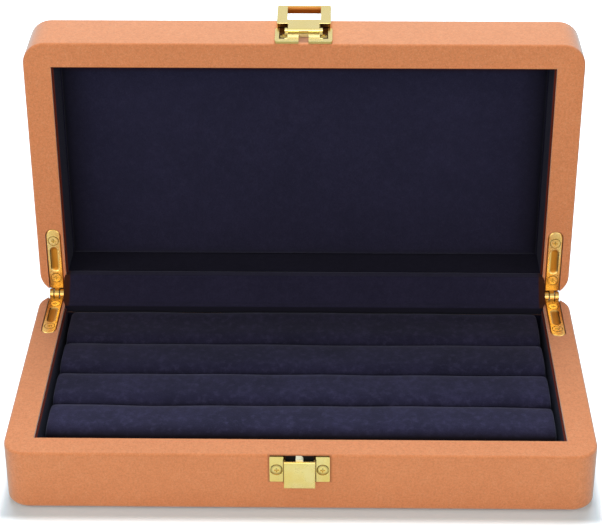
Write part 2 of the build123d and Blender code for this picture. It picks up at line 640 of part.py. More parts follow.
def lid_nodes():
    """Every piece of the lid and its clasp in the half frame."""
    nodes = {"lid_" + name: board for name, board in wall_boards(LID_SHELL_HEIGHT, False).items()}
    nodes["lid_top_board"] = flat_board(LID_FLOOR, TOP_BOARD)
    nodes["lid_suede"] = suede_wrap(LID_SHELL_HEIGHT, LID_FLOOR, False)
    nodes["lid_wall_lining"] = wall_lining(LID_FLOOR)
    nodes["lid_pad_card"] = pad_card()
    nodes["lid_pad"] = lid_pad()
    nodes["right_hinge_lid_leaf"], nodes["left_hinge_lid_leaf"] = pair(Pos(HINGE_X, 0, 0) * lid_leaf())
    nodes["lid_hinge_screws"] = hinge_screws()
    nodes["clasp_plate"] = clasp_plate()
    nodes["clasp_screws"] = front_screws(
        CLASP_SCREW_X, CLASP_SCREW_DROP, POCKET_FLOOR, CLASP_SCREW_HEAD, CLASP_SCREW_RISE
    )
    nodes["clasp_pin"] = clasp_pin()
    nodes["clasp_lever"] = clasp_lever()
    return nodes


def write(name, pieces, place):
    """One STEP file for a node of one or more solids."""
    solids = pieces if isinstance(pieces, list) else [pieces]
    placed = [solid for piece in solids for solid in place(piece).solids()]
    export_step(placed[0] if len(placed) == 1 else Compound(placed), f"parts/{name}.step")


os.makedirs("parts", exist_ok=True)
for name, pieces in base_nodes().items():
    write(name, pieces, place_base)
for name, pieces in lid_nodes().items():
    write(name, pieces, place_lid)
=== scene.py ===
"""A suede-wrapped ring box standing open: cloth, padding, gold fittings and studio round its CAD frame.

The box stands on z = 0 with its length along X and its hinges at the back (+Y). Sizes are in metres.
"""
import json
import math

import bpy
import numpy as np
from bpy.props import FloatProperty, FloatVectorProperty, PointerProperty
from mathutils import Matrix, Vector


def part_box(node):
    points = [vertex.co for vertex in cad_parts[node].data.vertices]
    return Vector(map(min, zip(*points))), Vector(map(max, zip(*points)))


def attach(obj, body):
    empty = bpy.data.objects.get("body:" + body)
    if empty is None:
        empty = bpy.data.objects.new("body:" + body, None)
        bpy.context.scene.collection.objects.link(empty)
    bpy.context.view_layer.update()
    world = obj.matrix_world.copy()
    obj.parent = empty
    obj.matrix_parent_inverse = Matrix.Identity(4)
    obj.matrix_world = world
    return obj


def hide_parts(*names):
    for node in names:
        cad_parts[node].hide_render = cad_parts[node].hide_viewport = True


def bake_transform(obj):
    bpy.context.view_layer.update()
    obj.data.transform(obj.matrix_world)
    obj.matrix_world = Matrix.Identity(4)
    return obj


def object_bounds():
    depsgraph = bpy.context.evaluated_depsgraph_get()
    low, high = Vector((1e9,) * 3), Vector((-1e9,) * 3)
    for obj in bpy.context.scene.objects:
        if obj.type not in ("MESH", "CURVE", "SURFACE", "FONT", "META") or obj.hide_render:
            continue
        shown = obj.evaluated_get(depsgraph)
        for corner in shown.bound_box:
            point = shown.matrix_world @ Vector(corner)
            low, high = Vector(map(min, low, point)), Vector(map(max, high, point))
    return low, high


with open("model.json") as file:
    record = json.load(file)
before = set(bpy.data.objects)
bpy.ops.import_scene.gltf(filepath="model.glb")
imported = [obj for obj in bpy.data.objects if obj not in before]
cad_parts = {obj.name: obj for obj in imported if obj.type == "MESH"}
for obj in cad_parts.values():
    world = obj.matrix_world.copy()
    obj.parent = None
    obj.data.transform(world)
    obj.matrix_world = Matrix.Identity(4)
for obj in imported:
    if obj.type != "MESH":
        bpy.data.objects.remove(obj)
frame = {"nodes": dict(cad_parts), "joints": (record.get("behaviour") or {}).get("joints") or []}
CAD_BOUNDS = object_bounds()
HINGE = next(joint for joint in frame["joints"] if joint["name"] == "lid_hinge")
PIVOT_Y, PIVOT_Z = HINGE["pos_m"][1:]

bl_info = {
    "name": "Ring Box",
    "version": (1, 0, 0),
    "blender": (4, 5, 0),
    "location": "3D View > Sidebar > Ring Box",
    "description": "Covers, pads and lights a hinged ring box built round its CAD frame",
    "category": "Add Mesh",
}

MM = 0.001
PHOTO_WIDTH = 602
SENSOR_WIDTH = 36.0
VIEW_SPAN = (0.01, 20)

BOARD_NODES = tuple(
    f"{half}_{board}_board" for half in ("base", "lid") for board in ("front", "rear", "left", "right")
) + ("base_floor_board", "lid_top_board")
ROLL_NODES = tuple(f"ring_roll_{number}" for number in range(1, 5))
# Painted light on the rolls' cloth: tones that grow lighter towards the front, where more light falls past
# the lid
ROLL_LIGHT_TONES = (0.98, 0.98, 1.08, 1.26)
AHEAD = (0.0, -1.0, 0.0)
UPWARD = (0.0, 0.0, 1.0)
NAP_DEPTH = 0.15 * MM
VECTOR, COLOUR, NUMBER = "NodeSocketVector", "NodeSocketColor", "NodeSocketFloat"

# Faces of the fittings and levels of the cloth's shades in the open box
CATCH_FACE = 57.65 * MM
CATCH_SCREW_FACE = 57.95 * MM
CLASP_FACE = 140.25 * MM
CLASP_SCREW_FACE = 140.05 * MM
LEVER_FACE = 142.25 * MM
BASE_LEAF_FACE = 25.45 * MM
LID_LEAF_FACE = -56.9 * MM
SCREW_REACHES = (7.7 * MM, 25.2 * MM)
TONGUE_SIDE = 1.15 * MM
FOOT_SHADE = 1.5 * MM
SLOT_SHADE = 23.0 * MM
PAD_SHADE = 119.8 * MM
BASE_WALL_EDGE = 22.9 * MM
LID_WALL_EDGE = 60.2 * MM

# The flap: its reach from the hinge axis, its tail in the lid, its lip, its wider middle, cloth and ripple
FLAP_REACH = 8.85 * MM
FLAP_TAIL = 3.5 * MM
FLAP_LIP = 3.4 * MM
FLAP_FLARE = 1.2 * MM
FLAP_CLOTH = 0.55 * MM
FLAP_RIPPLE = 0.12 * MM

# Colours of the painted shade, and of the painted reflection in the hinge channels, in scene-linear values
FOOT_SHADE_BROWN = (0.35, 0.11, 0.045)
TURNED_IN_SHADED_BROWN = (0.13, 0.022, 0.01)
FLAP_END_SHADED_BROWN = (0.06, 0.018, 0.008)
FLAP_LIP_SHADE_NAVY = (0.0095, 0.009, 0.019)
PAD_END_SHADE_NAVY = (0.006, 0.006, 0.012)
PAD_TOP_SHADE_BROWN = (0.022, 0.007, 0.008)
SLOT_SHADE_BLACK = (0.007, 0.004, 0.005)
CLASP_SHADE_OLIVE = (0.55, 0.38, 0.12)
CATCH_SHADE_OLIVE = (0.6, 0.42, 0.12)
SCREW_SHADE_OLIVE = (0.5, 0.37, 0.12)
RING_SHADE_OLIVE = (0.5, 0.3, 0.07)
CHANNEL_REFLECTION_AND_SHADE_BROWN = (0.62, 0.26, 0.03)
KNUCKLE_SHADE_BROWN = (0.42, 0.2, 0.04)
TONGUE_GAP_SHADE_BLACK = (0.04, 0.022, 0.007)

# Places of painted shade, with painted light on the clasp trough and a painted highlight on the catch post,
# and their mirror twins: middle, half size and fade in millimetres, and their own colour
PLACES = {
    "round the catch": ((0, -56.75, 19.7), (12.1, 1.0, 6.6), 1.0, (0.17, 0.045, 0.02)),
    "catch opening": ((0, -56.75, 19.4), (5.4, 1.3, 5.9), 0.25, (0.008, 0.004, 0.003)),
    "under the clasp": ((0, 64.2, 139.0), (11.4, 6.4, 2.0), 2.6, (0.17, 0.045, 0.02)),
    "clasp pocket": ((8.1, 64.5, 140.0), (1.9, 6.0, 1.0), 0.15, (0.13, 0.06, 0.012)),
    "clasp trough": ((0, 63.2, 139.9), (7.6, 2.2, 0.8), 0.15, None),
    "clasp back rim": ((7.9, 69.3, 140.0), (1.7, 1.2, 0.6), 0.15, (0.10, 0.045, 0.01)),
    "window end": ((0, 87.35, 140.7), (7.2, 0.3, 3.0), 0.1, (0.25, 0.12, 0.025)),
    "lever shoulder": ((8.9, 70.5, 140.0), (2.6, 0.5, 2.0), 0.15, (0.09, 0.04, 0.01)),
    "catch hollow": ((3.8, -57.9, 19.0), (2.35, 1.25, 5.35), 0.1, (0.012, 0.008, 0.004)),
    "catch corner": ((5.6, -57.2, 24.9), (0.45, 0.9, 0.62), 0.1, (0.02, 0.012, 0.005)),
    "catch post": ((0, -57.9, 25.0), (1.5, 1.4, 0.9), 0.1, (0.95, 0.88, 0.6)),
}

# Name, place, target, size, setting of the power, tint, and whether it shows in reflections
SOFTBOXES = (
    ("Overhead softbox", (0.0, 0.6, 1.1), (0, 0, 0), 0.8, "overhead_power", (0.91, 1.04, 1.17), False),
    ("Front softbox", (0.0, -1.3, 0.6), (0, 0, 0.06), 0.9, "front_power", (1.0, 0.935, 0.86), True),
    ("Left softbox", (-1.1, -0.6, 0.8), (0, 0, 0.06), 0.8, "left_power", (1.0, 0.95, 0.87), True),
    ("Right softbox", (1.1, -0.6, 0.8), (0, 0, 0.06), 0.8, "right_power", (1.0, 0.97, 0.92), True),
)
FLOOR_REACH = 3.0
FLOOR_WHITE = (0.76, 0.87, 0.93)
# Floor glow: less close round the box's foot, a painted shadow, and more far off, where the lamps no longer
# reach
FOOT_SHADOW_GLOW = ((0, 5.6 * MM), (0.1, 0.7))
FAR_GLOW = ((0.15, 0.6), (0, 0.3))
FLOOR_IN_METAL = 0.12
WORLD_IN_METAL = 0.8


# Settings


def colour(name, description, default):
    """A colour that a user may change, in scene-linear values."""
    return FloatVectorProperty(
        name=name, description=description, default=default, size=3, subtype="COLOR", min=0, max=1
    )


def length(name, description, default):
    """A length that a user may change, in metres."""
    return FloatProperty(
        name=name, description=description, default=default, subtype="DISTANCE", unit="LENGTH"
    )


def light_power(name, description, default):
    """The power of a lamp that a user may change, in watts."""
    return FloatProperty(name=name, description=description, default=default, min=0, unit="POWER")


class SuedeCoverSettings(bpy.types.PropertyGroup):
    """The orange-tan suede cloth over both halves."""
    cloth: colour("Cloth colour", "Colour of the cover's nap", (0.87, 0.305, 0.12))
    shade: colour("Shade colour", "Colour in the hollows of the nap", (0.66, 0.212, 0.076))
    fleck: colour("Fleck colour", "Colour of the light fibre ends", (0.95, 0.49, 0.27))
    grain: length("Grain size", "Size of one tuft of the nap", 0.9 * MM)


class InsideClothSettings(bpy.types.PropertyGroup):
    """The navy suede cloth of the rolls, the lid pad, the linings and the flap."""
    cloth: colour("Cloth colour", "Colour of the inside cloth", (0.0250, 0.0228, 0.0555))
    shade: colour("Shade colour", "Colour in the hollows of the nap", (0.0125, 0.0118, 0.029))
    fleck: colour("Fleck colour", "Colour of the light fibre ends", (0.043, 0.04, 0.086))
    grain: length("Grain size", "Size of one tuft of the nap", 0.8 * MM)
    waviness: length("Roll waviness", "How far a roll's long edges wander", 0.28 * MM)
    roll_crown: length("Roll crown", "How far a roll's top rises above its shoulders", 0.6 * MM)
    rear_climb: length("Rear climb", "How far the rearmost roll climbs to the rear rim", 2.6 * MM)
    roll_rise: length("Roll rise", "How far the padding swells above the roll's solid", 0.4 * MM)
    pad_crown: length("Lid pad crown", "How far the lid pad swells in its middle", 0.5 * MM)


class GoldSettings(bpy.types.PropertyGroup):
    """The gold-plated hinges, catch and clasp."""
    plate: colour("Gold colour", "Colour of the clasp's plating", (0.94, 0.78, 0.31))
    catch: colour("Catch colour", "Colour of the catch's plating", (0.91, 0.64, 0.175))
    warm: colour("Hinge colour", "Colour of the hinges' plating", (0.98, 0.68, 0.20))
    # Besides the handling smudges, the worn colour paints light on the clasp's trough
    worn_and_lit: colour("Worn colour", "Colour where handling has brightened the plating", (0.95, 0.84, 0.44))
    roughness: FloatProperty(
        name="Roughness", description="Blur of the reflections", default=0.2, min=0, max=1
    )


class StageSettings(bpy.types.PropertyGroup):
    """The floor, the light and the camera."""
    camera_place: FloatVectorProperty(
        name="Camera place", description="Where the camera stands", default=(0.01036, -0.62217, 0.4359),
        size=3, subtype="TRANSLATION", unit="LENGTH",
    )
    camera_pitch: FloatProperty(
        name="Camera pitch", description="How far the camera looks down", default=math.radians(30.2527),
        subtype="ANGLE", unit="ROTATION",
    )
    camera_yaw: FloatProperty(
        name="Camera yaw", description="How far the camera turns to the right",
        default=math.radians(-0.9759), subtype="ANGLE", unit="ROTATION",
    )
    camera_roll: FloatProperty(
        name="Camera roll", description="How far the camera leans", default=math.radians(-0.1813),
        subtype="ANGLE", unit="ROTATION",
    )
    focal_length: FloatProperty(
        name="Focal length in pixels", description="The lens, in pixels of the photograph's width",
        default=1897.17, min=100,
    )
    sky: FloatProperty(name="Sky light", description="Even light from all round", default=0.096, min=0)
    overhead_power: light_power("Overhead light", "Power of the softbox above and behind the box", 14.0)
    front_power: light_power("Front light", "Power of the low softbox in front", 6.6)
    left_power: light_power("Left light", "Power of the softbox on the left", 4.8)
    right_power: light_power("Right light", "Power of the softbox on the right", 2.7)


# Meshes from arrays


def mesh_object(name, points, faces):
    """A smooth-shaded object at the origin from an array of points and a list of faces."""
    mesh = bpy.data.meshes.new(name)
    mesh.from_pydata(points.tolist(), [], faces)
    mesh.polygons.foreach_set("use_smooth", np.ones(len(mesh.polygons), bool))
    mesh.validate()
    mesh.update()
    piece = bpy.data.objects.new(name, mesh)
    bpy.context.scene.collection.objects.link(piece)
    return piece


def grid_quads(rows, columns, wrap):
    """Quads of a grid of rows by columns, whose columns may close on themselves."""
    across = np.arange(columns if wrap else columns - 1)
    row, column = np.meshgrid(np.arange(rows - 1), across, indexing="ij")
    after = (column + 1) % columns
    here, there = row * columns, (row + 1) * columns
    quads = np.stack([here + column, there + column, there + after, here + after], axis=-1)
    return quads.reshape(-1, 4)


def wander(along, seed, spans, amplitude):
    """A slow wander along a length: a sum of sines with the given spans, each with a seeded phase."""
    draws = np.random.default_rng(seed)
    phases = draws.uniform(0, 2 * math.pi, len(spans))
    weights = draws.uniform(0.5, 1, len(spans))
    waves = [
        weight * np.sin(2 * math.pi * along / span + phase)
        for span, phase, weight in zip(spans, phases, weights)
    ]
    return amplitude * sum(waves) / sum(weights)


def superellipse(angle, power):
    """Cosine and sine of an angle, each raised to 2/power with its sign kept: a rounded square."""
    cosine, sine = np.cos(angle), np.sin(angle)
    return (np.sign(cosine) * np.abs(cosine) ** (2 / power), np.sign(sine) * np.abs(sine) ** (2 / power))


# Shared effects for the materials


def effect_group(name, inputs, outputs):
    """An empty shader node group with named sockets, given as their name, kind and sometimes default."""
    group = bpy.data.node_groups.new(name, "ShaderNodeTree")
    for label, kind, *default in inputs:
        socket = group.interface.new_socket(label, in_out="INPUT", socket_type=kind)
        if default:
            socket.default_value = default[0]
    for label, kind in outputs:
        group.interface.new_socket(label, in_out="OUTPUT", socket_type=kind)
    return group, group.nodes.new("NodeGroupInput").outputs, group.nodes.new("NodeGroupOutput").inputs


def feed(tree, socket, value):
    """Sets a socket to a number, vector or colour, or links another socket to it."""
    if isinstance(value, bpy.types.NodeSocket):
        tree.links.new(value, socket)
    else:
        socket.default_value = value


def maths(tree, operation, first, second=0.0, clamp=False):
    """A Math node on sockets or numbers, and its result."""
    node = tree.nodes.new("ShaderNodeMath")
    node.operation = operation
    node.use_clamp = clamp
    feed(tree, node.inputs[0], first)
    feed(tree, node.inputs[1], second)
    return node.outputs[0]


def vector_maths(tree, operation, first, second=(0, 0, 0)):
    """A Vector Math node on sockets or vectors, and its result."""
    node = tree.nodes.new("ShaderNodeVectorMath")
    node.operation = operation
    feed(tree, node.inputs[0], first)
    feed(tree, node.inputs[1], second)
    return node.outputs["Value" if operation in ("DOT_PRODUCT", "DISTANCE", "LENGTH") else "Vector"]


def blend_colours(tree, share, first, second):
    """A Mix node for colours, and its result."""
    node = tree.nodes.new("ShaderNodeMix")
    node.data_type = "RGBA"
    for slot, value in ((0, share), (6, first), (7, second)):
        feed(tree, node.inputs[slot], value)
    return node.outputs[2]


def spread(tree, value, span, levels=(0.0, 1.0), rise="LINEAR"):
    """A value stretched from a span to two levels and kept between them, and the result."""
    node = tree.nodes.new("ShaderNodeMapRange")
    node.interpolation_type = rise
    tree.links.new(value, node.inputs["Value"])
    for label, number in zip(("From Min", "From Max", "To Min", "To Max"), (*span, *levels)):
        node.inputs[label].default_value = number
    return node.outputs["Result"]


def noise(tree, place, scale, detail=2.0, rough=0.5):
    """A noise texture at a scale in features a metre, given as a socket or a number."""
    node = tree.nodes.new("ShaderNodeTexNoise")
    for label, value in (("Vector", place), ("Scale", scale), ("Detail", detail), ("Roughness", rough)):
        feed(tree, node.inputs[label], value)
    return node.outputs["Fac"]


def suede_nap_group():
    """Suede nap: tufts a grain wide, darker hollows, light fibre ends, brushed patches and soft clouds."""
    group, given, made = effect_group(
        "Suede nap",
        [
            ("Vector", VECTOR), ("Cloth", COLOUR), ("Shade", COLOUR), ("Fleck", COLOUR),
            ("Grain Scale", NUMBER, 1200.0), ("Grain Contrast", NUMBER, 0.6),
            ("Patch Contrast", NUMBER, 0.6), ("Cloud Contrast", NUMBER, 0.3),
        ],
        [("Color", COLOUR), ("Roughness", NUMBER), ("Height", NUMBER)],
    )

    def mask(value, span, contrast):
        """A noise stretched over a span, as strong as one of the group's contrasts."""
        return maths(group, "MULTIPLY", spread(group, value, span), given[contrast])

    place, grain = given["Vector"], given["Grain Scale"]
    tuft = noise(group, place, grain, 3.0, 0.65)
    fine = noise(group, place, maths(group, "MULTIPLY", grain, 2.3), 2.0, 0.6)
    cloud = noise(group, place, 60.0, 3.0, 0.55)
    patch = noise(group, place, 380.0, 3.0, 0.6)
    colour_now = given["Cloth"]
    for share, part in (
        (mask(cloud, (0.3, 0.7), "Cloud Contrast"), "Shade"),
        (mask(patch, (0.52, 0.3), "Patch Contrast"), "Shade"),
        (mask(patch, (0.52, 0.76), "Patch Contrast"), "Fleck"),
        (mask(tuft, (0.56, 0.34), "Grain Contrast"), "Shade"),
        (mask(fine, (0.55, 0.74), "Grain Contrast"), "Fleck"),
    ):
        colour_now = blend_colours(group, share, colour_now, given[part])
    group.links.new(colour_now, made["Color"])
    group.links.new(maths(group, "ADD", maths(group, "MULTIPLY", tuft, 0.15), 0.82), made["Roughness"])
    group.links.new(maths(group, "ADD", tuft, maths(group, "MULTIPLY", fine, 0.6)), made["Height"])
    return group


def plated_metal_group():
    """Polished plating: faint handling smudges in the roughness and a soft shift of tone."""
    group, given, made = effect_group(
        "Plated metal",
        [("Vector", VECTOR), ("Plate", COLOUR), ("Worn", COLOUR), ("Polish", NUMBER, 0.16)],
        [("Color", COLOUR), ("Roughness", NUMBER), ("Height", NUMBER)],
    )
    smudge = noise(group, given["Vector"], 160.0, 3.0, 0.55)
    pit = noise(group, given["Vector"], 1500.0)
    tone = maths(group, "MULTIPLY", spread(group, smudge, (0.35, 0.75)), 0.4)
    group.links.new(blend_colours(group, tone, given["Plate"], given["Worn"]), made["Color"])
    blur = maths(group, "ADD", given["Polish"], maths(group, "MULTIPLY", smudge, 0.12))
    group.links.new(blur, made["Roughness"])
    group.links.new(maths(group, "ADD", pit, maths(group, "MULTIPLY", smudge, 3.0)), made["Height"])
    return group


def board_grain_group():
    """Pressed board: fine fibres in two tones."""
    group, given, made = effect_group(
        "Board grain",
        [("Vector", VECTOR), ("Pale", COLOUR), ("Dark", COLOUR)],
        [("Color", COLOUR), ("Height", NUMBER)],
    )
    fibre = noise(group, given["Vector"], 900.0, 4.0, 0.7)
    share = spread(group, fibre, (0.35, 0.65))
    group.links.new(blend_colours(group, share, given["Dark"], given["Pale"]), made["Color"])
    group.links.new(fibre, made["Height"])
    return group


def mirrored(group, place):
    """A place with its x made positive, so that one recess stands for its left and right twins."""
    parts = group.nodes.new("ShaderNodeSeparateXYZ")
    group.links.new(place, parts.inputs[0])
    joined = group.nodes.new("ShaderNodeCombineXYZ")
    for slot, part in enumerate((maths(group, "ABSOLUTE", parts.outputs[0]), *parts.outputs[1:])):
        group.links.new(part, joined.inputs[slot])
    return joined.outputs[0]


def mask_group(name, *inputs):
    """An empty effect group for a recess's mask, with its own inputs between the place and the fade."""
    return effect_group(name, [("Vector", VECTOR), *inputs, ("Fade", NUMBER, 0.2 * MM)], [("Mask", NUMBER)])


def put_out_mask(group, depth, given, made):
    """Puts out a depth inside a recess as a mask: 0 outside, 1 from one fade length inwards."""
    group.links.new(maths(group, "DIVIDE", depth, given["Fade"], clamp=True), made["Mask"])
    return group


def sunk_group():
    """How far a point lies below a level, measured along the direction that the face looks in."""
    group, given, made = mask_group("Sunk", ("Facing", VECTOR), ("Level", NUMBER))
    height = vector_maths(group, "DOT_PRODUCT", given["Vector"], given["Facing"])
    return put_out_mask(group, maths(group, "SUBTRACT", given["Level"], height), given, made)


def box_recess_group():
    """A box-shaped recess and its mirror twin: the least distance in from the box's six faces, faded."""
    group, given, made = mask_group("Box recess", ("Middle", VECTOR), ("Half", VECTOR))
    away = vector_maths(group, "SUBTRACT", mirrored(group, given["Vector"]), given["Middle"])
    inward = vector_maths(group, "SUBTRACT", given["Half"], vector_maths(group, "ABSOLUTE", away))
    parts = group.nodes.new("ShaderNodeSeparateXYZ")
    group.links.new(inward, parts.inputs[0])
    least = maths(group, "MINIMUM", parts.outputs[0], parts.outputs[1])
    return put_out_mask(group, maths(group, "MINIMUM", least, parts.outputs[2]), given, made)


def round_recess_group():
    """A round recess and its mirror twin: the distance in from a sphere's surface, faded."""
    group, given, made = mask_group("Round recess", ("Middle", VECTOR), ("Radius", NUMBER, 2.0 * MM))
    away = vector_maths(group, "DISTANCE", mirrored(group, given["Vector"]), given["Middle"])
    return put_out_mask(group, maths(group, "SUBTRACT", given["Radius"], away), given, made)


def effect(kind):
    """A shared effect group, built once."""
    builders = {
        "Suede nap": suede_nap_group, "Plated metal": plated_metal_group, "Board grain": board_grain_group,
        "Sunk": sunk_group, "Box recess": box_recess_group, "Round recess": round_recess_group,
    }
    return bpy.data.node_groups.get(kind) or builders[kind]()


def placed_effect(tree, kind, values):
    """An effect group in a material, on Object coordinates and with its values set."""
    place = tree.nodes.new("ShaderNodeTexCoord")
    group = tree.nodes.new("ShaderNodeGroup")
    group.node_tree = effect(kind)
    tree.links.new(place.outputs["Object"], group.inputs["Vector"])
    for label, value in values.items():
        group.inputs[label].default_value = value
    return group


def opaque(rgb):
    """A colour with full alpha."""
    return (*rgb, 1.0)


def principled(material):
    """The Principled BSDF of a material."""
    return material.node_tree.nodes["Principled BSDF"]


def new_material(name, kind, values, bump, finish):
    """A material whose effect group feeds a Principled BSDF.

    The bump is given as its strength and depth, and the finish as plain values of the shader's sockets.
    """
    material = bpy.data.materials.new(name)
    material.use_nodes = True
    tree, shader = material.node_tree, principled(material)
    group = placed_effect(tree, kind, values)
    tree.links.new(group.outputs["Color"], shader.inputs["Base Color"])
    if "Roughness" in group.outputs:
        tree.links.new(group.outputs["Roughness"], shader.inputs["Roughness"])
    relief = tree.nodes.new("ShaderNodeBump")
    relief.inputs["Strength"].default_value, relief.inputs["Distance"].default_value = bump
    tree.links.new(group.outputs["Height"], relief.inputs["Height"])
    tree.links.new(relief.outputs["Normal"], shader.inputs["Normal"])
    for label, value in finish.items():
        shader.inputs[label].default_value = value
    return material


def darken(material, mask, deep):
    """Mixes a colour over whatever feeds the material's Base Color, by a mask."""
    tree, socket = material.node_tree, principled(material).inputs["Base Color"]
    tree.links.new(blend_colours(tree, mask, socket.links[0].from_socket, opaque(deep)), socket)


def shade(material, kind, values, deep, share=1.0):
    """Mixes a colour over a recess, by its mask times a share or another mask, and gives its mask."""
    mask = placed_effect(material.node_tree, kind, values).outputs["Mask"]
    darken(material, maths(material.node_tree, "MULTIPLY", mask, share), deep)
    return mask


def shade_below(material, facing, level, fade, deep, share=1.0):
    """Shades what lies below a level, seen along the direction that a face looks in, and gives the mask."""
    return shade(material, "Sunk", {"Facing": facing, "Level": level, "Fade": fade}, deep, share)


def shade_place(material, name, share=1.0, deep=None):
    """Shades one of the listed places, in its own colour unless another is given, and gives its mask."""
    middle, half, fade, own = PLACES[name]
    return shade(material, "Box recess", {
        "Middle": [side * MM for side in middle], "Half": [side * MM for side in half], "Fade": fade * MM,
    }, deep or own, share)


def dull(material, mask, share):
    """Lowers the plating's Metallic by a share inside a mask."""
    tree = material.node_tree
    metallic = maths(tree, "SUBTRACT", 1.0, maths(tree, "MULTIPLY", mask, share))
    tree.links.new(metallic, principled(material).inputs["Metallic"])


def suede(name, chosen, tone, contrasts, strength, finish):
    """Suede cloth from its settings: its colours times a tone, which paints light above 1 and shade below 1,
    and its grain, patch and cloud contrasts.
    """
    values = dict(zip(("Grain Contrast", "Patch Contrast", "Cloud Contrast"), contrasts))
    values["Grain Scale"] = 1 / chosen.grain
    for label, part in (("Cloth", chosen.cloth), ("Shade", chosen.shade), ("Fleck", chosen.fleck)):
        values[label] = opaque([share * tone for share in part])
    return new_material(name, "Suede nap", values, (strength, NAP_DEPTH), finish)


def cover_suede(name):
    """Orange-tan suede cloth: dry nap with a pale sheen at grazing angles."""
    return suede(name, bpy.context.scene.ring_box_cover, 1.0, (0.52, 0.14, 0.16), 0.3, {
        "Specular IOR Level": 0.12, "Sheen Weight": 0.7, "Sheen Roughness": 0.45,
        "Sheen Tint": (0.6, 0.92, 0.97, 1.0),
    })


def pressed_suede():
    """The cover's suede on the base, with painted shade: black in the catch's opening, darker round it and
    at the foot.
    """
    material = cover_suede("Tan suede, base")
    shade_place(material, "round the catch", share=0.6)
    shade_place(material, "catch opening")
    shade_below(material, UPWARD, FOOT_SHADE, fade=1.2 * MM, deep=FOOT_SHADE_BROWN, share=0.45)
    return material


def shaded_suede():
    """The cover's suede on the lid, with a soft shade under the clasp."""
    material = cover_suede("Tan suede, lid")
    shade_place(material, "under the clasp", share=0.85)
    return material


def inside_suede(name="Navy suede", tone=1.0, brushed=0.25):
    """Navy suede cloth: deep nap with a faint blue sheen, darker as painted shade where a tone below 1 is
    given, and lighter as painted light above 1.

    Brushed is the strength of its brushed patches.
    """
    return suede(name, bpy.context.scene.ring_box_inside, tone, (0.45, brushed, 1.5 * brushed), 0.4, {
        "Specular IOR Level": 0.1 * tone, "Sheen Weight": 0.13 * tone, "Sheen Roughness": 0.5,
        "Sheen Tint": (0.75, 0.78, 1.0, 1.0),
    })


def wall_suede(name, facing, level):
    """The inside cloth on the walls, in a tone darkened as painted shade, and browner along its edge beside
    the rim where the cover turns in: the cover's tan, painted dark as in shade.
    """
    material = inside_suede(name, tone=0.45)
    shade_below(material, facing, level, fade=1.4 * MM, deep=TURNED_IN_SHADED_BROWN, share=0.95)
    return material


def pad_suede(half_width):
    """The inside cloth of the lid pad in a slightly shaded tone, with painted shade towards its ends and its
    top, where the walls shade it.
    """
    material = inside_suede("Navy suede, pad", tone=0.93)
    tree = material.node_tree
    values = {"Middle": (0, 0, 0), "Half": (half_width, 1, 1), "Fade": 12.0 * MM}
    open_part = placed_effect(tree, "Box recess", values).outputs["Mask"]
    darken(material, maths(tree, "MULTIPLY", maths(tree, "SUBTRACT", 1.0, open_part), 0.7), PAD_END_SHADE_NAVY)
    shade_below(material, (0, 0, -1), -PAD_SHADE, fade=2.2 * MM, deep=PAD_TOP_SHADE_BROWN, share=0.7)
    return material


def roll_suede(name, tone, front):
    """The inside cloth of a roll in its tone of painted light and shade, with painted shade nearly black low
    down on the front one, where the front slot shades it.
    """
    material = inside_suede(name, tone, brushed=0.7)
    if front:
        shade_below(material, UPWARD, SLOT_SHADE, fade=2.4 * MM, deep=SLOT_SHADE_BLACK, share=0.9)
    return material


def flap_suede(half_width):
    """The inside cloth of the flap in a shaded tone, darker on its lip as painted shade, and at its ends the
    cover's brown, painted dark as in shade, standing for the cover's turned-in edge.
    """
    material = inside_suede("Navy suede, flap", tone=0.92)
    shade(material, "Box recess", {
        "Middle": (half_width + 2.0 * MM, PIVOT_Y, PIVOT_Z),
        "Half": (3.6 * MM, 20 * MM, 20 * MM), "Fade": 0.6 * MM,
    }, FLAP_END_SHADED_BROWN)
    shade_below(material, UPWARD, PIVOT_Z - 0.1 * MM, fade=0.4 * MM, deep=FLAP_LIP_SHADE_NAVY)
    return material


def gold_plate(piece, facing, level, fade, deep, plating="plate"):
    """Polished gold plating on one piece, in another tone below a level of its face, on most pieces a
    painted shade in its recesses, and that mask.
    """
    chosen = bpy.context.scene.ring_box_gold
    material = new_material(f"Gold plate, {piece}", "Plated metal", {
        "Plate": opaque(getattr(chosen, plating)), "Worn": opaque(chosen.worn_and_lit), "Polish": chosen.roughness,
    }, bump=(0.05, 0.01 * MM), finish={"Metallic": 1.0})
    return material, shade_below(material, facing, level, fade, deep)


def hinge_plate(piece, facing, level, middle_x, screws, shade_reach):
    """Gold plating on a hinge leaf: brown in its channel and other sunk parts, a painted reflection of the
    tan cover and painted shade, with painted shade olive round its screws and black beside its tongue.

    The plating darkens towards the knuckle as painted shade, out to the shade's reach from the hinge's axis.
    """
    material, sunk = gold_plate(piece, facing, level - 0.08 * MM, 0.45 * MM, CHANNEL_REFLECTION_AND_SHADE_BROWN, plating="warm")
    tree, roughness = material.node_tree, principled(material).inputs["Roughness"]
    blur = maths(tree, "MULTIPLY", sunk, 0.35)
    tree.links.new(maths(tree, "ADD", roughness.links[0].from_socket, blur), roughness)
    shade(material, "Round recess", {
        "Middle": (middle_x, PIVOT_Y, PIVOT_Z), "Radius": shade_reach, "Fade": shade_reach / 2,
    }, KNUCKLE_SHADE_BROWN, share=0.6)
    for middle in screws:
        values = {"Middle": middle, "Radius": 2.6 * MM, "Fade": 0.2 * MM}
        ring = placed_effect(tree, "Round recess", values).outputs["Mask"]
        darken(material, spread(tree, maths(tree, "MULTIPLY", ring, sunk), (0.0, 0.35)), RING_SHADE_OLIVE)
    for side in (-1, 1):
        shade(material, "Box recess", {
            "Middle": (middle_x + side * TONGUE_SIDE, PIVOT_Y, PIVOT_Z),
            "Half": (0.3 * MM, 2.6 * MM, 2.6 * MM), "Fade": 0.12 * MM,
        }, TONGUE_GAP_SHADE_BLACK)
    return material


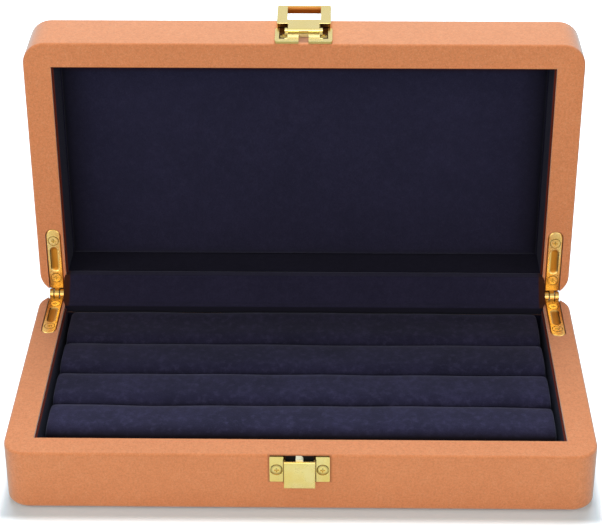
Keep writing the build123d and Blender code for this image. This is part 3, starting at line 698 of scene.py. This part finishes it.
def bare_board():
    """Plain pressed board under the coverings."""
    return new_material("Bare board", "Board grain", {
        "Pale": (0.45, 0.31, 0.17, 1.0), "Dark": (0.3, 0.19, 0.1, 1.0),
    }, bump=(0.2, 0.1 * MM), finish={"Roughness": 0.85})


def dress(nodes, material):
    """Gives CAD nodes a material in every slot of their objects."""
    for name in nodes:
        piece = frame["nodes"][name]
        if not piece.material_slots:
            piece.data.materials.append(material)
        for slot in piece.material_slots:
            slot.link = "OBJECT"
            slot.material = material


def finish_piece(piece, material):
    """Gives a new piece its material."""
    piece.data.materials.append(material)


# Pieces


def roll_surface(low, high, seed, waviness, crown, rise_over, rear_rise):
    """Points and faces of a ring roll between its CAD corners.

    The section is a rounded square of power 5 about the node's middle, with a parabolic crown on its upper
    half and a flat foot. A roll that climbs to the rear rim gains a square law of the share of its depth, up
    to rear_rise at the back. It shrinks over a superelliptic end at each tip, and its sides and top wander
    slowly.
    """
    stations, around = 480, 96
    section_power, tip_power = 5.0, 2.6
    tip, pinch_y, pinch_z = 3.2 * MM, 0.07, 0.12
    crowding, climb_start = 0.35, 0.1
    side_spans, top_spans, top_seed = (0.052, 0.081, 0.137), (0.038, 0.07, 0.15), seed + 50
    centre, half = (low + high) / 2, (high - low) / 2
    crowded = np.sin(np.linspace(-math.pi / 2, math.pi / 2, stations))
    x = (crowded * crowding + np.linspace(-1, 1, stations) * (1 - crowding)) * half[0]
    depth = np.clip((half[0] - np.abs(x)) / tip, 0, 1)
    full = np.clip(1 - (1 - depth) ** tip_power, 0, 1) ** (1 / tip_power)
    swell_y = 1 - pinch_y * (1 - full)
    swell_z = 1 - pinch_z * (1 - full)
    angle = np.linspace(0, 2 * math.pi, around, endpoint=False) + math.pi / around
    side, rise = superellipse(angle, section_power)
    upper = np.clip(rise, 0, None)
    y = centre[1] + half[1] * side[None, :] * swell_y[:, None]
    base = centre[2] + (half[2] - crown / 2) * rise[None, :] * swell_z[:, None]
    z = base - crown / 2 + crown * (1 - side[None, :] ** 2) * upper[None, :] * swell_z[:, None]
    drift = wander(x, seed, side_spans, waviness)
    lift = wander(x, top_seed, top_spans, waviness)
    y = y + drift[:, None] * upper[None, :] * full[:, None]
    z = z + (lift - waviness + rise_over)[:, None] * upper[None, :] * full[:, None]
    climb = np.clip((side + climb_start) / (1 + climb_start), 0, 1) ** 2
    z = z + rear_rise * (climb * upper)[None, :] * full[:, None]
    z = np.maximum(z, low[2])
    rings = np.stack([np.broadcast_to(x[:, None], y.shape), y, z], axis=-1)
    points = rings.reshape(-1, 3)
    ends = rings[[0, -1]].mean(axis=1)
    column = np.arange(around)
    after = (column + 1) % around
    final = (stations - 1) * around
    start = np.stack([np.full(around, len(points)), column, after], axis=-1)
    end = np.stack([np.full(around, len(points) + 1), final + after, final + column], axis=-1)
    faces = grid_quads(stations, around, True).tolist() + start.tolist() + end.tolist()
    return np.vstack([points, ends]), faces


class RINGBOX_OT_ring_rolls(bpy.types.Operator):
    """Makes the four padded ring rolls over their CAD solids"""
    bl_idname = "ringbox.ring_rolls"
    bl_label = "Ring rolls"

    def execute(self, context):
        chosen = context.scene.ring_box_inside
        # Each roll's tone paints light on its cloth, lighter towards the front
        for seed, (node, tone) in enumerate(zip(ROLL_NODES, ROLL_LIGHT_TONES), start=1):
            low, high = (np.array(corner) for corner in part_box(node))
            points, faces = roll_surface(
                low, high, seed, chosen.waviness, chosen.roll_crown, chosen.roll_rise,
                chosen.rear_climb if node == ROLL_NODES[0] else 0.0,
            )
            piece = mesh_object(node.replace("ring_roll", "padded_roll"), points, faces)
            cloth = roll_suede(f"Navy suede, roll {seed}", tone, node == ROLL_NODES[-1])
            finish_piece(piece, cloth)
            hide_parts(node)
            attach(piece, "base")
        return {"FINISHED"}


def pad_surface(low, high, crown):
    """Points and faces of the lid pad between its CAD corners, facing -Y in the open lid.

    Two parameters run over the panel. The front height is a rounded edge, 1 - (1 - d/r)^2.4 raised to 1/2.4
    with d the distance to the nearest edge, plus a shallow crown, the product of the square roots of two
    cosines. The back is flat.
    """
    columns, rows = 260, 140
    rounding, edge_power = 7.0 * MM, 2.4
    centre, half = (low + high) / 2, (high - low) / 2
    across = np.sin(np.linspace(-1, 1, columns) * math.pi / 2)
    upward = np.sin(np.linspace(-1, 1, rows) * math.pi / 2)
    column, row = np.meshgrid(across, upward, indexing="xy")
    x = centre[0] + half[0] * column
    z = centre[2] + half[2] * row
    edge = np.minimum(half[0] * (1 - np.abs(column)), half[2] * (1 - np.abs(row)))
    share = np.clip(edge / rounding, 0, 1)
    height = (1 - (1 - share) ** edge_power) ** (1 / edge_power)
    dome = np.cos(column * math.pi / 2) ** 0.5 * np.cos(row * math.pi / 2) ** 0.5
    y = high[1] - (2 * half[1] - crown) * height - crown * dome
    front = np.stack([x, y, z], axis=-1).reshape(-1, 3)
    back = np.stack([x, np.full_like(x, high[1]), z], axis=-1).reshape(-1, 3)
    quads = grid_quads(rows, columns, False)
    return np.vstack([front, back]), quads[:, ::-1].tolist() + (quads + len(front)).tolist()


class RINGBOX_OT_lid_pad(bpy.types.Operator):
    """Makes the padded panel inside the lid over its CAD solid"""
    bl_idname = "ringbox.lid_pad"
    bl_label = "Lid pad"

    def execute(self, context):
        low, high = (np.array(corner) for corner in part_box("lid_pad"))
        points, faces = pad_surface(low, high, context.scene.ring_box_inside.pad_crown)
        piece = mesh_object("padded_lid_panel", points, faces)
        merge = piece.modifiers.new("close edges", "WELD")
        merge.merge_threshold = 0.01 * MM
        finish_piece(piece, pad_suede(high[0]))
        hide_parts("lid_pad")
        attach(piece, "lid")
        return {"FINISHED"}


def flap_line(count):
    """Points (y, z) of the flap's middle line in the open box, about the hinge axis.

    The point a share t of the way from the base's rim to the lid's rim lies on the ray that the blend's
    weight t * t * (3 - 2 * t) of a quarter turn brings flat onto the rim plane when the lid closes. A lip
    turns down over the base's wall, and a tail runs into the lid.
    """
    share = np.linspace(0, 1, count)
    weight = share * share * (3 - 2 * share)
    along = (share - 0.5) * FLAP_REACH * math.sqrt(2)
    turn = math.pi / 2 * weight - math.pi / 4
    middle = np.abs(turn) < 1e-6
    away = np.where(middle, 0, along) / np.where(middle, 1, np.tan(turn))
    away = np.where(middle, np.interp(0.5, share[~middle], (along[~middle] / np.tan(turn[~middle]))), away)
    y = (along - away) / math.sqrt(2)
    z = (along + away) / math.sqrt(2)
    tail_points, lip_points = 8, 4
    tail = np.linspace(-FLAP_TAIL, 0, tail_points)[:-1]
    lip = np.linspace(-FLAP_LIP, 0, lip_points)[:-1]
    low = np.stack([np.full_like(lip, -FLAP_REACH), lip], axis=-1)
    high = np.stack([-tail[::-1], np.full_like(tail, FLAP_REACH)], axis=-1)
    return np.vstack([low, np.stack([y, z], axis=-1), high])


class RINGBOX_OT_rear_flap(bpy.types.Operator):
    """Makes the cloth flap that bridges the rear rims"""
    bl_idname = "ringbox.rear_flap"
    bl_label = "Rear flap"

    def execute(self, context):
        low, high = (np.array(corner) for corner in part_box("rear_flap"))
        rows, columns, seed = 61, 240, 9
        line = flap_line(rows)
        x = np.linspace(low[0], high[0], columns)
        ripple = wander(x, seed, (0.047, 0.09, 0.16), FLAP_RIPPLE)
        share = np.sin(np.linspace(0, math.pi, len(line)))
        spread_out = x[None, :] * (1 + FLAP_FLARE / high[0] * np.clip(2 * share, 0, 1)[:, None])
        y = PIVOT_Y + line[:, 0][:, None] - ripple[None, :] * share[:, None]
        z = PIVOT_Z + line[:, 1][:, None] + ripple[None, :] * share[:, None]
        points = np.stack([spread_out, y, z], axis=-1).reshape(-1, 3)
        piece = mesh_object("cloth_rear_flap", points, grid_quads(len(line), columns, False).tolist())
        cloth = piece.modifiers.new("cloth thickness", "SOLIDIFY")
        cloth.thickness = FLAP_CLOTH
        cloth.offset = 0
        finish_piece(piece, flap_suede(high[0]))
        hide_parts("rear_flap")
        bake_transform(piece)
        return {"FINISHED"}


class RINGBOX_OT_suede_cover(bpy.types.Operator):
    """Covers both halves and the underside with orange-tan suede cloth"""
    bl_idname = "ringbox.suede_cover"
    bl_label = "Suede cover"

    def execute(self, context):
        dress(("base_suede", "underside_panel"), pressed_suede())
        dress(("lid_suede",), shaded_suede())
        return {"FINISHED"}


class RINGBOX_OT_linings(bpy.types.Operator):
    """Covers the inner walls and the roll tray with navy suede cloth"""
    bl_idname = "ringbox.linings"
    bl_label = "Linings"

    def execute(self, context):
        dress(("roll_tray", "lid_pad_card"), inside_suede())
        dress(("base_wall_lining",), wall_suede("Navy suede, base walls", (0, 0, -1), -BASE_WALL_EDGE))
        dress(("lid_wall_lining",), wall_suede("Navy suede, lid walls", (0, 1, 0), LID_WALL_EDGE))
        return {"FINISHED"}


class RINGBOX_OT_boards(bpy.types.Operator):
    """Gives the boards under the coverings their plain finish"""
    bl_idname = "ringbox.boards"
    bl_label = "Boards"

    def execute(self, context):
        dress(BOARD_NODES, bare_board())
        return {"FINISHED"}


class RINGBOX_OT_hinges(bpy.types.Operator):
    """Plates the hinge leaves and pins"""
    bl_idname = "ringbox.hinges"
    bl_label = "Hinges"

    def execute(self, context):
        low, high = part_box("right_hinge_base_leaf")
        x = (low[0] + high[0]) / 2
        base_screws = [(x, PIVOT_Y - reach, BASE_LEAF_FACE) for reach in SCREW_REACHES]
        lid_screws = [(x, -LID_LEAF_FACE, PIVOT_Z + reach) for reach in SCREW_REACHES]
        base_plate = hinge_plate("base leaf", UPWARD, BASE_LEAF_FACE, x, base_screws, shade_reach=24 * MM)
        lid_plate = hinge_plate("lid leaf", AHEAD, LID_LEAF_FACE, x, lid_screws, shade_reach=12 * MM)
        dress(("left_hinge_base_leaf", "right_hinge_base_leaf"), base_plate)
        dress(("left_hinge_pin", "right_hinge_pin"), base_plate)
        dress(("left_hinge_lid_leaf", "right_hinge_lid_leaf"), lid_plate)
        return {"FINISHED"}


class RINGBOX_OT_clasp(bpy.types.Operator):
    """Plates the clasp, its lever and the catch"""
    bl_idname = "ringbox.clasp"
    bl_label = "Clasp"

    def execute(self, context):
        chosen = context.scene.ring_box_gold
        # Painted shade: olive in the clasp's sunk parts, dark in its pockets, back rim, lever window and
        # shoulders; painted light: a pale, less metallic trough
        plate, sunk = gold_plate("clasp", UPWARD, CLASP_FACE - 0.06 * MM, fade=0.3 * MM, deep=CLASP_SHADE_OLIVE)
        shade_place(plate, "clasp pocket", sunk)
        dull(plate, shade_place(plate, "clasp trough", deep=chosen.worn_and_lit), share=0.7)
        shade_place(plate, "clasp back rim")
        lever, sunk = gold_plate("lever", UPWARD, LEVER_FACE - 0.35 * MM, fade=1.2 * MM, deep=chosen.plate)
        shade_place(lever, "window end", sunk)
        shade_place(lever, "lever shoulder")
        # Painted shade: olive in the catch's sunk parts, black in its hollows and corners; a painted
        # highlight: a pale, less metallic post
        catch, _ = gold_plate("catch", AHEAD, CATCH_FACE - 0.05 * MM, 0.35 * MM, CATCH_SHADE_OLIVE, "catch")
        shade_place(catch, "catch hollow")
        shade_place(catch, "catch corner")
        dull(catch, shade_place(catch, "catch post"), share=0.85)
        dress(("clasp_plate",), plate)
        dress(("clasp_lever", "clasp_pin"), lever)
        dress(("catch_plate",), catch)
        return {"FINISHED"}


class RINGBOX_OT_screws(bpy.types.Operator):
    """Plates the screws"""
    bl_idname = "ringbox.screws"
    bl_label = "Screws"

    def execute(self, context):
        # Painted shade: olive in each screw's recesses, and over the whole heads of the clasp's screws,
        # whose level lies above them
        for node, facing, level, plating in (
            ("base_hinge_screws", UPWARD, BASE_LEAF_FACE - 0.1 * MM, "warm"),
            ("lid_hinge_screws", AHEAD, LID_LEAF_FACE - 0.1 * MM, "warm"),
            ("catch_screws", AHEAD, CATCH_SCREW_FACE - 0.1 * MM, "catch"),
            ("clasp_screws", UPWARD, CLASP_SCREW_FACE + 0.3 * MM, "plate"),
        ):
            dress((node,), gold_plate(node, facing, level, 0.15 * MM, SCREW_SHADE_OLIVE, plating)[0])
        return {"FINISHED"}


# Stage


def floor_material():
    """White floor, whose own white shows to the camera and in the metal.

    Less of it shows close round the box's foot, which paints a shadow there over the real one, and more of
    it far off, where the lamps no longer reach.
    The distance from the foot is that of a point from a rectangle: the length of the positive part of
    |p| - half.
    """
    material = bpy.data.materials.new("White floor")
    material.use_nodes = True
    tree = material.node_tree
    tree.nodes.clear()
    matt = tree.nodes.new("ShaderNodeBsdfDiffuse")
    matt.inputs["Color"].default_value = opaque(FLOOR_WHITE)
    place = tree.nodes.new("ShaderNodeTexCoord").outputs["Object"]
    half = (CAD_BOUNDS[1][0], -CAD_BOUNDS[0][1], 0)
    beyond = vector_maths(tree, "SUBTRACT", vector_maths(tree, "ABSOLUTE", place), half)
    away = vector_maths(tree, "LENGTH", vector_maths(tree, "MAXIMUM", beyond))
    foot_shadow_glow = spread(tree, away, *FOOT_SHADOW_GLOW, "SMOOTHSTEP")
    far = spread(tree, away, *FAR_GLOW, "SMOOTHSTEP")
    glow = tree.nodes.new("ShaderNodeEmission")
    seen = tree.nodes.new("ShaderNodeLightPath")
    total = tree.nodes.new("ShaderNodeAddShader")
    made = tree.nodes.new("ShaderNodeOutputMaterial")
    in_metal = maths(tree, "MULTIPLY", seen.outputs["Is Glossy Ray"], FLOOR_IN_METAL)
    shown = maths(tree, "MAXIMUM", seen.outputs["Is Camera Ray"], in_metal)
    tree.links.new(maths(tree, "MULTIPLY", shown, maths(tree, "ADD", foot_shadow_glow, far)), glow.inputs["Strength"])
    tree.links.new(matt.outputs[0], total.inputs[0])
    tree.links.new(glow.outputs[0], total.inputs[1])
    tree.links.new(total.outputs[0], made.inputs["Surface"])
    return material


def white_world(strength):
    """A world that lights evenly and shows plain white to the camera and in reflections."""
    world = bpy.context.scene.world or bpy.data.worlds.new("White studio")
    bpy.context.scene.world = world
    world.use_nodes = True
    tree = world.node_tree
    tree.nodes.clear()
    back = tree.nodes.new("ShaderNodeBackground")
    back.inputs["Color"].default_value = (1.0, 1.0, 1.0, 1.0)
    seen = tree.nodes.new("ShaderNodeLightPath")
    made = tree.nodes.new("ShaderNodeOutputWorld")
    reflected = maths(tree, "MAXIMUM", seen.outputs["Is Glossy Ray"], seen.outputs["Is Transmission Ray"])
    in_metal = maths(tree, "MULTIPLY", reflected, WORLD_IN_METAL)
    shown = maths(tree, "MAXIMUM", seen.outputs["Is Camera Ray"], in_metal)
    lit = maths(tree, "MULTIPLY", maths(tree, "SUBTRACT", 1.0, shown), strength)
    tree.links.new(maths(tree, "ADD", shown, lit), back.inputs["Strength"])
    tree.links.new(back.outputs[0], made.inputs["Surface"])


def softbox(name, place, target, size, power, tint, glossy):
    """A square area light at a place, turned to a target and hidden from the camera."""
    light = bpy.data.lights.new(name, "AREA")
    light.shape = "SQUARE"
    light.size = size
    light.energy = power
    light.color = tint
    lamp = bpy.data.objects.new(name, light)
    lamp.location = place
    lamp.visible_camera = False
    lamp.visible_glossy = glossy
    lamp.rotation_euler = (Vector(target) - Vector(place)).to_track_quat("-Z", "Y").to_euler()
    bpy.context.scene.collection.objects.link(lamp)


def photo_camera(chosen):
    """The camera that took the photograph: place, pitch, yaw and roll fitted to the box's corners."""
    pitch, yaw, roll = chosen.camera_pitch, chosen.camera_yaw, chosen.camera_roll
    ahead = Vector((math.sin(yaw) * math.cos(pitch), math.cos(yaw) * math.cos(pitch), -math.sin(pitch)))
    level = Vector((math.cos(yaw), -math.sin(yaw), 0))
    top = level.cross(ahead)
    right = math.cos(roll) * level + math.sin(roll) * top
    upward = -math.sin(roll) * level + math.cos(roll) * top
    lens = bpy.data.cameras.new("Photo camera")
    lens.sensor_width = SENSOR_WIDTH
    lens.lens = SENSOR_WIDTH * chosen.focal_length / PHOTO_WIDTH
    lens.clip_start, lens.clip_end = VIEW_SPAN
    camera = bpy.data.objects.new("Photo camera", lens)
    turned = Matrix((right, upward, -ahead)).transposed().to_4x4()
    camera.matrix_world = Matrix.Translation(Vector(chosen.camera_place)) @ turned
    bpy.context.scene.collection.objects.link(camera)
    bpy.context.scene.camera = camera


class RINGBOX_OT_stage(bpy.types.Operator):
    """Sets the white floor, the soft light and the camera"""
    bl_idname = "ringbox.stage"
    bl_label = "Stage"

    def execute(self, context):
        chosen = context.scene.ring_box_stage
        corners = np.array([(-1, -1, 0), (1, -1, 0), (1, 1, 0), (-1, 1, 0)]) * FLOOR_REACH
        floor = mesh_object("studio_floor", corners, [[0, 1, 2, 3]])
        floor.data.materials.append(floor_material())
        white_world(chosen.sky)
        for name, place, target, size, power, tint, glossy in SOFTBOXES:
            softbox(name, place, target, size, getattr(chosen, power), tint, glossy)
        context.scene.view_settings.view_transform = "Standard"
        photo_camera(chosen)
        return {"FINISHED"}


class RINGBOX_PT_sidebar(bpy.types.Panel):
    """Lists the ring box's pieces in the sidebar"""
    bl_idname = "RINGBOX_PT_sidebar"
    bl_label = "Ring Box"
    bl_space_type = "VIEW_3D"
    bl_region_type = "UI"
    bl_category = "Ring Box"

    def draw(self, context):
        for group in SETTINGS:
            settings = getattr(context.scene, group)
            box = self.layout.box()
            for name in settings.__annotations__:
                box.prop(settings, name)
        for operator in OPERATORS:
            self.layout.operator(operator.bl_idname)


OPERATORS = (
    RINGBOX_OT_suede_cover, RINGBOX_OT_linings, RINGBOX_OT_boards, RINGBOX_OT_ring_rolls,
    RINGBOX_OT_lid_pad, RINGBOX_OT_rear_flap, RINGBOX_OT_hinges, RINGBOX_OT_clasp, RINGBOX_OT_screws,
    RINGBOX_OT_stage,
)
SETTINGS = {
    "ring_box_cover": SuedeCoverSettings, "ring_box_inside": InsideClothSettings,
    "ring_box_gold": GoldSettings, "ring_box_stage": StageSettings,
}


def register():
    """Registers the settings, the operators and the panel."""
    for name, settings in SETTINGS.items():
        bpy.utils.register_class(settings)
        setattr(bpy.types.Scene, name, PointerProperty(type=settings))
    for operator in OPERATORS:
        bpy.utils.register_class(operator)
    bpy.utils.register_class(RINGBOX_PT_sidebar)


def unregister():
    """Takes the panel, the operators and the settings away again."""
    bpy.utils.unregister_class(RINGBOX_PT_sidebar)
    for operator in reversed(OPERATORS):
        bpy.utils.unregister_class(operator)
    for name, settings in SETTINGS.items():
        delattr(bpy.types.Scene, name)
        bpy.utils.unregister_class(settings)


def main():
    """Builds every piece and the stage."""
    register()
    for operator in OPERATORS:
        group, call = operator.bl_idname.split(".")
        getattr(getattr(bpy.ops, group), call)()


if __name__ == "__main__":
    main()
